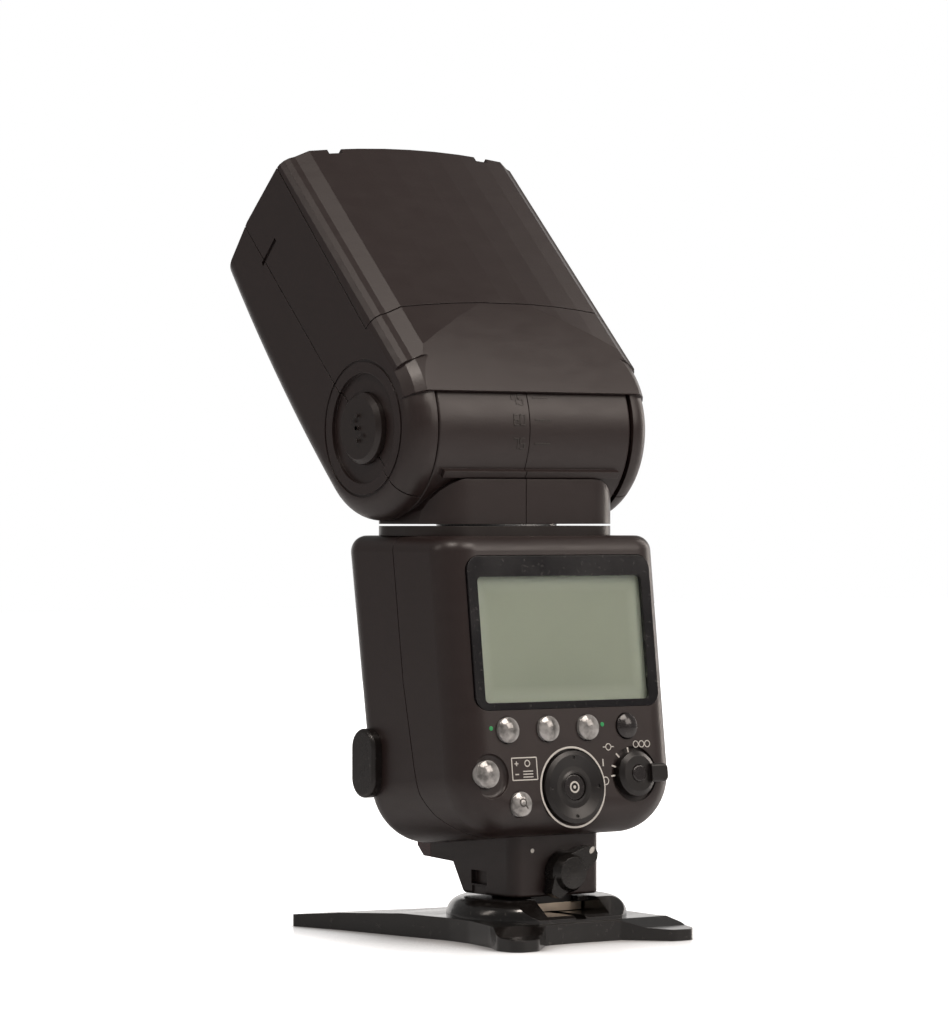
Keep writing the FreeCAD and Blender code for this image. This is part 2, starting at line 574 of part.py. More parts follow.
def make_body_screws():
    """Four screws in from the front that hold the two shells together."""
    screws = []
    for i, (x, z) in enumerate(SCREW_PLACES, 1):
        screw = turned(f"body_screw_{i}", [("0", "0"), ("1.4", "0"), ("1.4", "6"), ("2.4", "6"), ("2.4", "7"),
                                           ("0.8", "7"), ("0.8", "6.2"), ("0", "6.2")])
        screws.append(move(screw, x, front_y(z, "7.2"), z, TO_Y))
    node("body_screws", group("body_screws", screws))


# ---------------------------------------------------------------- foot


CONTACTS = [("0", "0"), ("-3.6", "-3.4"), ("3.6", "-3.4"), ("-3.6", "3.2"), ("3.6", "3.2")]


def make_foot(outer):
    """The block under the body with the assist lamp's window, and the metal shoe plate with its contacts."""
    profile = [("0 - block_back", "block_low"), ("9.8", "block_low"), ("14.6", "18.3"), ("27.5", "18.9"),
               ("30.2", "21.4"), ("30.6", "30"), ("0 - block_back", "30")]
    side = prism("block_side", "YZ", profile, "0 - block_half", "block_half")
    block = roll("block_rear_roll", side, "3",
                 lambda ends, middle: upright(ends, middle) and middle.y < -10)
    block = roll("block_base_roll", block, "0.8", lambda ends, middle: middle.z < 10.9)
    above = cut("block_under", block, outer)
    plug = box("block_plug", ("-7.9", "7.9"), ("-6.9", "7.9"), ("18", "27"))
    lever_bore = rod("lever_bore", "3.05", "7.4", "lever_x", "0 - block_back + 7.4", "lever_z", TO_REAR)
    pin_bore = rod("pin_bore", "pin_radius + 0.05", "16", "0", "pin_y", "10")
    window = box("block_window", ("-15", "-12.2"), ("0", "6.7"), ("13.4", "16.8"))
    notch = box("block_notch", ("-15", "-13.3"), ("0.4", "6.3"), ("10", "13.0"))
    lamp_cut = box("assist_cut", ("-20", "20"), ("24.2", "40"), ("10", "40"))
    parts = fuse("block_parts", above, plug)
    node("foot_block", cut("foot_block", parts, lever_bore, pin_bore, window, notch, lamp_cut))
    lamp = common("assist_form", above, box("assist_box", ("-20", "20"), ("24.4", "40"), ("10", "40")))
    node("assist_lamp_window", lamp)
    plate = tile("foot_plate", "foot_half", "9", "foot_low", "foot_low + foot_thick", "0.6", "0", "0.2")
    neck = box("foot_neck", ("0 - neck_half", "neck_half"), ("-8.2", "8.4"),
               ("foot_low + foot_thick", "block_low"))
    seats = [rod(f"contact_seat_{i}", "1.0", "9", x, y, "6") for i, (x, y) in enumerate(CONTACTS)]
    pin_way = rod("pin_way", "pin_radius + 0.05", "9", "0", "pin_y", "6")
    node("hot_shoe_foot", cut("hot_shoe_foot", fuse("foot_form", plate, neck), pin_way, *seats))
    pins = []
    for i, (x, y) in enumerate(CONTACTS):
        pin = turned(f"contact_{i}", [("0", "0"), ("0.95", "0"), ("0.95", "3.85"), ("0", "3.85")])
        pins.append(move(pin, x, y, "6.95"))
    node("foot_contacts", group("foot_contacts", pins))


def make_lock():
    """The twisted locking lever on the rear of the block; turning it drives the lock pin down."""
    hub = turned("lever_hub", [("0", "-7"), ("3", "-7"), ("3", "0.3"), ("5.4", "0.3"), ("5.0", "3.0"),
                               ("3.9", "4.9"), ("0", "5.3")])
    blade = prism("lever_blade", "XY", [("-5.9", "-5.0"), ("-3.0", "-6.4"), ("0.4", "-3.9"), ("3.4", "-0.6"),
                                        ("6.2", "1.0"), ("8.3", "3.1"), ("8.5", "5.1"), ("6.8", "6.4"),
                                        ("4.2", "6.0"), ("-0.6", "4.4"), ("-4.4", "0.6")], "0.3", "3.6")
    blade = roll("lever_blade_tips", blade, "0.9",
                 lambda ends, middle: upright(ends, middle) and math.hypot(middle.x, middle.y) > 6.5)
    lever = fuse("lock_lever_form", hub, blade)
    lever = common("lock_lever", lever, rod("lever_limit", "9.6", "20", z="-8"))
    node("lock_lever", move(lever, "lever_x", "0 - block_back", "lever_z", TO_REAR))
    node("lock_pin", rod("lock_pin", "pin_radius", "8.2", "0", "pin_y", "7.0"))


# ---------------------------------------------------------------- turntable and yoke


def plinth_plan(name, low, high):
    """The rounded plan that the turntable ring and the yoke's foot share."""
    base = box(name + "_box", ("0 - plinth_half", "plinth_half"), ("plinth_rear", "plinth_front"),
               (low, high))
    return roll(name, base, "plinth_corner", upright)


def make_turntable():
    """The fixed ring on top of the body, and the clip that keeps the yoke's tube in it."""
    ring = plinth_plan("ring_form", "body_top", "plinth_top")
    bore = rod("ring_bore", "pan_tube + fit", "8", y="pan_y", z="97")
    node("turntable_ring", cut("turntable_ring", ring, bore))
    clip = turned("clip_form", [("pan_tube + 0.05 - 1", "0"), ("12.5", "0"), ("12.5", "1.8"),
                                ("pan_tube + 0.05 - 1", "1.8")])
    node("pan_retainer", move(clip, "0", "pan_y", "95.6"))


def make_yoke():
    """A foot on the turntable that carries a wide barrel; it is moulded as a left and a right half."""
    plan = plinth_plan("yoke_plan", "yoke_low", "hub_z - 12.6")
    face = [("0 - barrel_half", "yoke_low"), ("barrel_half", "yoke_low")]
    for i in range(7):
        turn = 15 * i
        face.append((f"barrel_half - 11 * (1 - cos({turn}))", f"yoke_low + 0.4 + 11 * sin({turn})"))
    face += [(f"0 - ({x})", z) for x, z in reversed(face[2:])]
    column = common("yoke_column", plan, prism("yoke_face", "XZ", face, "plinth_rear", "plinth_front"))
    barrel = rod("barrel", "barrel_radius", "2 * barrel_half", "0 - barrel_half", "hub_y", "hub_z", TO_X)
    barrel = roll("barrel_soft", barrel, "0.6", lambda ends, middle: True)
    rib_side = [("-24.2", "-12.4"), ("-19.8", "-9.9"), ("-19.0", "-11.6"), ("-22.5", "-13.6")]
    rib = prism("stop_rib", "YZ", rib_side, "-27", "27")
    rib = common("stop_rib_form", move(rib, "0", "hub_y", "hub_z"),
                 rod("rib_limit", "barrel_radius + 1.3", "60", "-30", "hub_y", "hub_z", TO_X))
    form = fuse("yoke_form", column, barrel, rib)
    hollow = rod("barrel_hollow", "barrel_radius - 2.2", "2 * barrel_half - 5", "2.5 - barrel_half", "hub_y",
                 "hub_z", TO_X)
    tube_hole = rod("yoke_tube_hole", "pan_tube + 0.02", "20", y="pan_y", z="100")
    axle_hole = rod("yoke_axle_hole", "axle_radius + 0.02", "80", "-40", "hub_y", "hub_z", TO_X)
    shell = cut("yoke_shell", form, hollow, tube_hole, axle_hole)
    left = box("left_side", ("-40", "split_x - 0.1"), ("-20", "60"), ("90", "160"))
    right = box("right_side", ("split_x + 0.1", "40"), ("-20", "60"), ("90", "160"))
    node("yoke_left", common("yoke_left", shell, left))
    node("yoke_right", common("yoke_right", shell, right))
    tube = turned("tube_form", [("pan_tube - 1.4", "0"), ("pan_tube - 1", "0"), ("pan_tube - 1", "2"),
                                ("pan_tube", "2"), ("pan_tube", "6.85"), ("15.2", "6.85"), ("15.2", "7.28"),
                                ("pan_tube", "7.28"), ("pan_tube", "16"), ("pan_tube - 1.4", "16")])
    node("pan_tube", move(tube, "0", "pan_y", "95.5"))
    axle = turned("axle_form", [("axle_radius - 1.2", "0"), ("axle_radius", "0"), ("axle_radius", "66.3"),
                                ("axle_radius - 1.2", "66.3")])
    node("tilt_axle", move(axle, "-32.8", "hub_y", "hub_z", TO_X))
    ring = turned("detent_form", [("axle_radius + 0.3", "0"), ("13", "0"), ("13", "2"),
                                  ("axle_radius + 0.3", "2")])
    teeth = [rod(f"detent_{i}", "0.7", "2", f"11.5 * cos({15 * i})", f"11.5 * sin({15 * i})", "1.4")
             for i in range(24)]
    node("tilt_detent", move(cut("tilt_detent", ring, *teeth), "24.4", "hub_y", "hub_z", TO_X))


# ---------------------------------------------------------------- head, flat about its hub


def head_section(name, inset):
    """The head across the lamp: a crowned top panel, a bevel, a rolled shoulder and straight sides."""
    side = f"head_half - ({inset})"
    right = [(side, f"0 - cheek_radius - 2 + ({inset})"), (side, f"side_n - ({inset}) / 2")]
    for i in range(1, 5):
        turn = 19 * i
        right.append((f"{side} - 4.6 * (1 - cos({turn}))", f"side_n - ({inset}) / 2 + 4.5 * sin({turn})"))
    right.append((f"cheek_in - ({inset}) / 3", f"bevel_n - ({inset})"))
    for x, drop in ((24, 0.5), (16, 0.25), (8, 0.07)):
        right.append((str(x), f"crown - ({inset}) - (crown - bevel_n) * {(x / 30.2) ** 2:.4f}"))
    left = [(f"0 - ({x})", n) for x, n in reversed(right)]
    return prism(name, "XZ", right + [("0", f"crown - ({inset})")] + left, "-30", "80")


def on_arc(radius, turn):
    """A point on a circle about the hub, its turn in degrees from straight ahead."""
    return (f"({radius}) * cos({turn})", f"({radius}) * sin({turn})")


def under_n(at):
    """Height of the head's gently curved underside at a distance forward of the hub."""
    return f"(under_radius - cheek_radius - sqrt(under_radius * under_radius - ({at}) * ({at})))"


def make_head_form():
    """The head from the side: cheeks round the hub, a flat top that wraps over the barrel, a sloping front."""
    end = "90 + wrap_end"
    top, low = "(crown + 0.2)", "(wrap_out * cos(wrap_end))"
    run, drop = "(wrap_start + wrap_out * sin(wrap_end))", f"({top} - {low})"
    bend = f"({run} ^ 2 + {drop} ^ 2) / (2 * {drop})"
    middle_n = f"{top} - {bend} + sqrt(({bend}) ^ 2 - {run} ^ 2 / 4)"
    profile = [("0", "0 - cheek_radius", "under_radius", "under_run / 2", under_n("under_run / 2")),
               ("under_run", "under_front"), ("head_front", "0.6"), ("head_front - 1.2", "crown + 1"),
               ("wrap_start", top, bend, f"wrap_start - {run} / 2", middle_n), on_arc("wrap_out", end),
               (*on_arc("cheek_radius", end), "cheek_radius", *on_arc("cheek_radius", "180"))]
    side = prism("head_side", "YZ", profile, "0 - head_half", "head_half")

    def low_edge(ends, middle):
        low = middle.z < -18 and abs(ends[0].y - ends[1].y) > 5
        return abs(abs(middle.x) - num("head_half")) < 1e-4 and (low or middle.y < -12)

    side = roll("head_rolls", side, "6", low_edge)
    form = common("head_long", head_section("head_section", "0"), side)
    return cut("head_soft_wrap", form, wrap_shoulder())


def wrap_shoulder():
    """What the wrap loses at both ends of the hub, where its edge is as round as the cheeks."""
    edge = [("head_half", "side_n"), ("head_half - 1.8", "side_n + 2.6"), ("head_half - 4", "side_n + 4.4"),
            ("head_half - 6.2", "side_n + 5.5"), ("head_half - 9", "side_n + 6.4")]
    outline = [("0", "0 - head_half"), ("0", "head_half")] + [(r, x) for x, r in edge]
    outline += [(r, f"0 - ({x})") for x, r in reversed(edge)]
    barrel = move(turned("wrap_limit", outline), turn=TO_X)
    region = prism("wrap_region", "YZ", [("0", "0"), ("0", "40"), ("-40", "40"),
                                         ("-40", "40 * tan(wrap_end)")], "-40", "40")
    return cut("wrap_shoulder", region, barrel)


HEAD_SCREWS = [("-31", "27"), ("31", "27"), ("-31", "61"), ("31", "61")]


def make_head_shells():
    """The head's casing is hollow, clears the barrel between its two cheeks and is split in three."""
    form = make_head_form()
    room = [("24.8", under_n("24.8") + " + head_wall"), ("80", under_n("80") + " + head_wall"),
            ("80", "30"), ("24.8", "30")]
    cavity_side = prism("cavity_side", "YZ", room, "-40", "40")
    cavity = common("head_cavity", head_section("cavity_section", "head_wall"), cavity_side)
    inside = ("0 - cheek_in", "cheek_in")
    clear = rod("barrel_clear", "wrap_in", "2 * cheek_in", "0 - cheek_in", "0", "0", TO_X)
    behind = box("cheek_gap", inside, ("-30", "0"), ("-30", "0"))
    below = box("cheek_gap_low", inside, ("-1", "cover_rear"), ("-30", "1"))
    within = box("cheek_gap_high", inside, ("-1", "25"), ("-20", "23.9"))
    tools = [cavity, clear, behind, below, within]
    tools.append(rod("axle_bore", "axle_radius + fit", "68", "-34", "0", "0", TO_X))
    tools.append(rod("release_bore", "release_radius + 0.12", "6", "-39.3", "0", "0", TO_X))
    tools.append(rod("left_dish", "dish_radius", "4", "-40", "0", "0", TO_X))
    tools.append(rod("right_dish", "dish_radius", "4", "36", "0", "0", TO_X))
    for tag, low in (("left", "-37.1"), ("right", "36.6")):
        ring_out = rod(f"{tag}_ring_out", "ring_radius", "0.5", low, "0", "0", TO_X)
        ring_in = rod(f"{tag}_ring_in", "ring_radius - 0.7", "0.5", low, "0", "0", TO_X)
        tools.append(cut(f"{tag}_ring_groove", ring_out, ring_in))
    for tag, low, high in (("left", "-40", "0 - head_half + 0.7"), ("right", "head_half - 0.7", "40")):
        tools.append(box(f"{tag}_slit", (low, high), ("62.4", "63.6"), ("-2.4", "6.4")))
    for tag, x in (("left", "-25"), ("right", "21")):
        tools.append(box(f"{tag}_lip_notch", (x, f"{x} + 4"), ("head_front - 2.6", "80"), ("24", "30")))
    for i, (x, at) in enumerate(HEAD_SCREWS, 1):
        tools.append(rod(f"head_screw_way_{i}", "1.45", "8", x, at, "-24"))
        tools.append(rod(f"head_screw_sink_{i}", "2.5", "4", x, at, under_n(at) + " - 2.4"))
    casing = cut("head_casing", form, *tools)
    cover = [("cover_rear", "cover_n_rear"), ("head_front + 4", "cover_n_front"), ("head_front + 4", "40"),
             ("cover_rear", "40")]
    grown = [("cover_rear - gap", "cover_n_rear - gap"), ("head_front + 5", "cover_n_front - gap"),
             ("head_front + 5", "41"), ("cover_rear - gap", "41")]
    lid = common("head_top_cover", casing, prism("cover_region", "YZ", cover, "-40", "40"))
    node("head_top_cover", on_head(lid))
    upper = cut("upper_part", casing, prism("cover_grown", "YZ", grown, "-41", "41"))
    above = box("upper_region", ("-40", "40"), ("-40", "90"), ("shell_split + gap / 2", "40"))
    under = box("lower_region", ("-40", "40"), ("-40", "90"), ("-40", "shell_split - gap / 2"))
    node("head_upper_shell", on_head(common("head_upper_shell", upper, above)))
    node("head_lower_shell", on_head(common("head_lower_shell", casing, under)))
    screws = []
    for i, (x, at) in enumerate(HEAD_SCREWS, 1):
        screw = turned(f"head_screw_{i}", [("0", "0.9"), ("0.8", "0.9"), ("0.8", "0"), ("2.3", "0"),
                                           ("2.3", "0.9"), ("1.4", "0.9"), ("1.4", "4.6"), ("0", "4.6")])
        screws.append(move(screw, x, at, under_n(at) + " + 0.7"))
    node("head_screws", on_head(group("head_screws", screws)))


def make_hub():
    """The release button and its spring in the left cheek, and a plain cap in the right one."""
    button = turned("release_form", [("0", "0"), ("3.2", "0"), ("3.2", "1"), ("release_radius - 2", "1"),
                                     ("release_radius - 2", "-1.2"), ("release_radius", "-1.2"),
                                     ("release_radius", "1.4"), ("release_radius - 1.1", "2.4"), ("0", "2.4")])
    dots = []
    for i in (-1, 0, 1):
        dots.append(rod(f"release_dot_{i + 1}", "0.55", "1", f"{2.2 * i}", f"{2.2 * i}", "2.1"))
    button = fuse("release_with_dots", button, *dots)
    button = move(button, "-36", "0", "0", FreeCAD.Rotation(V(0, -1, 0), 90))
    node("tilt_release_button", on_head(group("tilt_release_button", [button])))
    spring = turned("release_spring_form", [("4", "0"), ("5", "0"), ("5", "2.2"), ("4", "2.2")])
    node("release_spring", on_head(group("release_spring", [move(spring, "-35.4", "0", "0", TO_X)])))
    cap = turned("hub_cap_form", [("0", "0"), ("dish_radius - 0.1", "0"), ("dish_radius - 0.1", "0.8"),
                                  ("dish_radius - 1.2", "1.4"), ("9", "1.4"), ("8.6", "1.0"), ("0", "1.0")])
    node("hub_cap", on_head(group("hub_cap", [move(cap, "36.05", "0", "0", TO_X)])))


def make_lamp():
    """Fresnel lens and its frame, and the reflector that a screw drives along two rails."""
    outer_frame = box("lens_frame_outer", ("-34.1", "34.1"), ("71.2", "75.4"), ("-14.5", "19.9"))
    inner_frame = box("lens_frame_inner", ("0 - lens_half", "lens_half"), ("70", "80"),
                      ("lens_low", "lens_high"))
    sill = box("lens_sill", ("-34.1", "34.1"), ("72.2", "73.1"), ("-14.5", "19.9"))
    sill = cut("lens_sill_ring", sill, box("lens_sill_hole", ("-31", "31"), ("70", "80"), ("-11.4", "17.8")))
    frame = fuse("lens_frame_form", cut("lens_frame_ring", outer_frame, inner_frame), sill)
    node("lens_frame", on_head(frame))
    lens = box("lens_plate", ("0.15 - lens_half", "lens_half - 0.15"), ("73.15", "74.6"),
               ("lens_low + 0.15", "lens_high - 0.15"))
    node("fresnel_lens", on_head(group("fresnel_lens", [lens])))
    bowl_out = [("69", "15.6"), ("61", "13.2"), ("55", "8.6"), ("53", "3"), ("55", "-2.6"), ("61", "-7.2"),
                ("69", "-9.6")]
    bowl_in = [("69.5", "14.7"), ("61.3", "12.4"), ("55.7", "8.1"), ("53.8", "3"), ("55.7", "-2.1"),
               ("61.3", "-6.4"), ("69.5", "-8.7")]
    bowl = cut("reflector_form", prism("reflector_out", "YZ", bowl_out, "-26.4", "26.4"),
               prism("reflector_in", "YZ", bowl_in, "-25.6", "25.6"),
               rod("reflector_ends", "2.1", "60", "-30", "57.4", "3", TO_X))
    node("reflector", on_head(bowl))
    tube = turned("flash_tube_form", [("0", "0"), ("1.2", "0"), ("1.2", "2.5"), ("2", "2.5"), ("2", "51.5"),
                                      ("1.2", "51.5"), ("1.2", "54"), ("0", "54")])
    node("flash_tube", on_head(group("flash_tube", [move(tube, "-27", "57.4", "3", TO_X)])))
    plate = box("carriage_plate", ("-27", "27"), ("56", "68"), ("-10.9", "-9.65"))
    nut = box("carriage_nut", ("18.8", "25.2"), ("58", "66"), ("-14.9", "-10.8"))
    shoe = box("carriage_shoe", ("-25.2", "-18.8"), ("58", "66"), ("-14.9", "-10.8"))
    way = rod("carriage_way", "1.6", "50", "screw_x", "40", "screw_n", TO_Y)
    rail_way = rod("carriage_rail_way", "1.26", "50", "0 - screw_x", "40", "screw_n", TO_Y)
    carriage = fuse("carriage_form", plate, nut, shoe)
    node("zoom_carriage", on_head(cut("zoom_carriage", carriage, way, rail_way)))
    screw = rod("zoom_screw_form", "1.5", "37", "screw_x", "33.4", "screw_n", TO_Y)
    flat = box("zoom_screw_flat", ("screw_x + 1.1", "screw_x + 2"), ("30", "36"), ("-15", "-10"))
    node("zoom_screw", on_head(cut("zoom_screw", screw, flat)))
    can = rod("zoom_motor_can", "4.8", "8.4", "screw_x", "24.9", "screw_n", TO_Y)
    motor = roll("zoom_motor_form", can, "0.6", lambda ends, middle: True)
    node("zoom_motor", on_head(group("zoom_motor", [motor])))
    rear_plate = box("chassis_rear", ("-29.3", "29.3"), ("33.35", "34.6"), ("-17", "-8.4"))
    front_plate = box("chassis_front", ("-29.3", "29.3"), ("70.1", "71.1"), ("-14.5", "-11.6"))
    side_bar = box("chassis_bar", ("27.9", "29.3"), ("33.35", "71.1"), ("-14.5", "-11.6"))
    rail = rod("chassis_rail", "1.2", "37.5", "0 - screw_x", "33.5", "screw_n", TO_Y)
    way = rod("chassis_way", "1.56", "45", "screw_x", "30", "screw_n", TO_Y)
    frame = cut("chassis_form", fuse("chassis_plates", rear_plate, front_plate, side_bar), way)
    node("lamp_chassis", on_head(fuse("lamp_chassis", frame, rail)))


def make_cards():
    """The white catch-light card and the clear wide-angle panel lie in a tray over the lens."""
    tray = box("card_tray_form", ("-33", "33"), ("29", "75.2"), ("20.5", "21.2"))
    node("card_tray", on_head(group("card_tray", [tray])))
    card = box("card_leaf", ("-27", "27"), ("31", "75.2"), ("21.5", "22.1"))
    card_lip = box("card_lip", ("8", "18"), ("75.2", "76.1"), ("21.5", "22.1"))
    node("catchlight_card", on_head(fuse("catchlight_card", card, card_lip)))
    panel = box("panel_leaf", ("-27", "27"), ("31", "75"), ("22.5", "23.5"))
    panel_lip = box("panel_lip", ("-7", "7"), ("75", "76.1"), ("22.5", "24.1"))
    node("wide_panel", on_head(fuse("wide_panel", panel, panel_lip)))


def check_all():
    """Stop on a failed object or a sub-part with no sound solid."""
    for obj in doc.Objects:
        if "Invalid" in obj.State or "Error" in obj.State:
            raise RuntimeError(f"{obj.Label}: {obj.getStatusString()}")
    for label, obj in NODES.items():
        if obj.Shape.isNull() or not obj.Shape.isValid() or not obj.Shape.Solids:
            raise RuntimeError(f"{label}: no sound solid")


def write_all():
    os.makedirs("parts", exist_ok=True)
    for label, obj in NODES.items():
        obj.Shape.exportStep(f"parts/{label}.step")
        print(f"{label}: {len(obj.Shape.Solids)} solid(s), {obj.Shape.Volume:.0f} mm3")


make_stand()
outer_form = make_body_shells()
make_display()
make_keys()
make_dial()
make_power_lever()
make_boards()
make_battery_bay()
make_capacitor()
make_sensor_window(outer_form)
make_body_screws()
make_foot(outer_form)
make_lock()
make_turntable()
make_yoke()
make_head_shells()
make_hub()
make_lamp()
make_cards()
doc.recompute()
check_all()
write_all()
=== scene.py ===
import bpy
import math
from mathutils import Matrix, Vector


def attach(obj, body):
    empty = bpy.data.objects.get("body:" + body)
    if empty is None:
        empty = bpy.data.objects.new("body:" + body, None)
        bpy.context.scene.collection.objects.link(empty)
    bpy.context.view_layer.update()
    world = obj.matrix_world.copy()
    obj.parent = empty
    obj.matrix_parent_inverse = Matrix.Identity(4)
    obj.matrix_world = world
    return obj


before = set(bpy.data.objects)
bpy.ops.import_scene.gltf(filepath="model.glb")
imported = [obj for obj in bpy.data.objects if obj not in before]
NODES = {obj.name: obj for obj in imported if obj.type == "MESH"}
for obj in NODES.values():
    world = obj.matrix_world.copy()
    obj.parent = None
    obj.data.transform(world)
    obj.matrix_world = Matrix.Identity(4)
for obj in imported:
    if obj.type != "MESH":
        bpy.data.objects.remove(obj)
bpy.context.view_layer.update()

# Sizes of the flash, in millimetres and degrees unless a comment says otherwise.
MM = 0.001
PANEL_BACK, PANEL_TOP = 11.3, 95.1
LEAN = math.radians(7)
HUB = Vector((0, 20.5, 126.6))
C45 = math.cos(math.radians(45))
BARREL_RADIUS = 22.6
RELEASE_FACE = 39.1
BLOCK_BACK = 10.8
BODY_HALF = 33.2
DIAL = (-0.8, 38.1)
MODE_KEY = (-26.2, 42.2)
ZOOM_KEY = (-17.0, 34.6)
DOME_RADIUS = 6.0
SEAM_N, SEAM_HALF = -1.0, 0.14
LCD_HALF_X, LCD_HALF_Z, LCD_MID_Z = 0.0252, 0.0155, 0.0745  # metres
FOOT_NECK_ABOVE = 0.00895  # metres
CAMERA_AT = (-0.6203, -0.84486, 0.1058)  # metres
CAMERA_DIRECTION = (0.5807, 0.8141, 0)
FOCAL_LENGTH = 147.6
SMOOTH_BELOW = math.radians(24)


# ---------------------------------------------------------------- materials


class Tree:
    """Short calls for building one material's node tree."""

    def __init__(self, name):
        self.material = bpy.data.materials.new(name)
        self.material.use_nodes = True
        self.tree = self.material.node_tree
        self.tree.nodes.clear()
        self.shader = self.add("ShaderNodeBsdfPrincipled")
        out = self.add("ShaderNodeOutputMaterial")
        self.link(self.shader.outputs["BSDF"], out.inputs["Surface"])
        self.place = self.add("ShaderNodeTexCoord").outputs["Object"]

    def add(self, kind, **settings):
        found = self.tree.nodes.new(kind)
        for key, value in settings.items():
            setattr(found, key, value)
        return found

    def link(self, a, b):
        self.tree.links.new(a, b)

    def fill(self, socket, value):
        """Feed an input from another node's output, or set it to a number or a colour."""
        if hasattr(value, "links"):
            self.link(value, socket)
        elif isinstance(value, (int, float)):
            socket.default_value = value
        else:
            socket.default_value = (*value, 1)

    def noise(self, scale, detail=3.0, stretch=None):
        found = self.add("ShaderNodeTexNoise")
        found.inputs["Scale"].default_value = scale
        found.inputs["Detail"].default_value = detail
        source = self.place
        if stretch:
            mapping = self.add("ShaderNodeMapping")
            mapping.inputs["Scale"].default_value = stretch
            self.link(source, mapping.inputs["Vector"])
            source = mapping.outputs["Vector"]
        self.link(source, found.inputs["Vector"])
        return found.outputs["Fac"]

    def cells(self, scale):
        found = self.add("ShaderNodeTexVoronoi")
        found.inputs["Scale"].default_value = scale
        self.link(self.place, found.inputs["Vector"])
        return found.outputs["Distance"]

    def span(self, source, low, high, from_low=0.3, from_high=0.7):
        """Stretch a value: from_low becomes low and from_high becomes high."""
        found = self.add("ShaderNodeMapRange")
        limits = {"From Min": from_low, "From Max": from_high, "To Min": low, "To Max": high}
        for key, value in limits.items():
            found.inputs[key].default_value = value
        self.link(source, found.inputs["Value"])
        return found.outputs["Result"]

    def mix(self, factor, a, b):
        """A colour between a and b; each is a colour or a socket."""
        found = self.add("ShaderNodeMix", data_type="RGBA")
        for key, value in (("Factor", factor), ("A", a), ("B", b)):
            self.fill(found.inputs[key], value)
        return found.outputs["Result"]

    def edge(self, radius):
        """A mask that is 1 on sharp edges, from the bevelled normal against the true one, and that normal."""
        bevel = self.add("ShaderNodeBevel", samples=4)
        bevel.inputs["Radius"].default_value = radius
        geometry = self.add("ShaderNodeNewGeometry")
        dot = self.add("ShaderNodeVectorMath", operation="DOT_PRODUCT")
        self.link(bevel.outputs["Normal"], dot.inputs[0])
        self.link(geometry.outputs["Normal"], dot.inputs[1])
        return self.span(dot.outputs["Value"], 1.0, 0.0, 0.75, 1.0), bevel.outputs["Normal"]

    def bump(self, height, strength, distance, normal=None):
        found = self.add("ShaderNodeBump")
        found.inputs["Strength"].default_value = strength
        found.inputs["Distance"].default_value = distance
        self.link(height, found.inputs["Height"])
        if normal:
            self.link(normal, found.inputs["Normal"])
        return found.outputs["Normal"]

    def put(self, **sockets):
        """Set the shader's sockets by name, with underscores for spaces."""
        for key, value in sockets.items():
            self.fill(self.shader.inputs[key.replace("_", " ")], value)


def plastic(name, color, rough, grain, depth, wear):
    """Moulded plastic: fine spark grain, hand-polished patches and slightly rubbed edges."""
    t = Tree(name)
    mask, soft = t.edge(0.00022)
    broad = t.noise(38, 4)
    smear = t.noise(120, 2, (1, 1, 3.5))
    lighter = tuple(min(1, c * 1.9 + 0.012) for c in color)
    darker = tuple(c * 0.94 for c in color)
    base = t.mix(t.span(broad, 0, 1), darker, color)
    rub = t.add("ShaderNodeMath", operation="MULTIPLY")
    t.link(mask, rub.inputs[0])
    t.link(t.span(t.noise(260, 3), 0, wear), rub.inputs[1])
    base = t.mix(rub.outputs[0], base, lighter)
    roughness = t.span(smear, rough - 0.025, rough + 0.035)
    height = t.bump(t.noise(grain, 1), 0.35, depth, t.bump(t.cells(grain * 0.6), 0.3, depth, soft))
    t.put(Base_Color=base, Roughness=roughness, Normal=height, IOR=1.5)
    return t.material


def gloss(name, color, rough, coat=0.0, wear=0.15):
    """Smooth moulding: faint ripple, fine dust specks and wiping streaks."""
    t = Tree(name)
    mask, soft = t.edge(0.0002)
    dust = t.span(t.noise(900, 2), 0, 0.05, 0.62, 0.72)
    base = t.mix(dust, color, (0.5, 0.48, 0.45))
    base = t.mix(t.span(mask, 0, wear, 0, 1), base, tuple(min(1, c * 1.6 + 0.03) for c in color))
    roughness = t.span(t.noise(70, 3, (1, 3, 1)), rough, rough + 0.10)
    t.put(Base_Color=base, Roughness=roughness, Normal=t.bump(t.noise(45, 2), 0.06, 0.0004, soft), IOR=1.5,
          Coat_Weight=coat, Coat_Roughness=0.05)
    return t.material


def metal(name, color, rough, stretch=(1, 12, 1), wear=0.3):
    """Brushed or turned metal with small scratches."""
    t = Tree(name)
    mask, soft = t.edge(0.00015)
    base = t.mix(t.span(t.noise(160, 3, stretch), 0, 1), tuple(c * 0.82 for c in color), color)
    base = t.mix(t.span(mask, 0, wear, 0, 1), base, tuple(min(1, c * 1.25) for c in color))
    t.put(Base_Color=base, Metallic=1.0, Roughness=t.span(t.noise(500, 2, stretch), rough - 0.06, rough + 0.1),
          Normal=t.bump(t.noise(1400, 2, stretch), 0.25, 0.00002, soft))
    return t.material


def clear(name, color, rough, ribs=0.0):
    """Clear or frosted moulding with faint dust; ribs is the scale of a Fresnel lens's parallel steps."""
    t = Tree(name)
    t.put(Base_Color=t.mix(t.span(t.noise(700, 2), 0, 0.08, 0.6, 0.7), color, (0.9, 0.9, 0.88)),
          Roughness=t.span(t.noise(60, 3), rough, rough + 0.05), IOR=1.49, Transmission_Weight=1.0)
    height = t.noise(90, 2)
    strength = 0.03
    if ribs:
        wave = t.add("ShaderNodeTexWave", wave_type="BANDS", bands_direction="X")
        wave.inputs["Scale"].default_value = ribs
        t.link(t.place, wave.inputs["Vector"])
        height = wave.outputs["Fac"]
        strength = 0.5
    t.put(Normal=t.bump(height, strength, 0.0003))
    return t.material


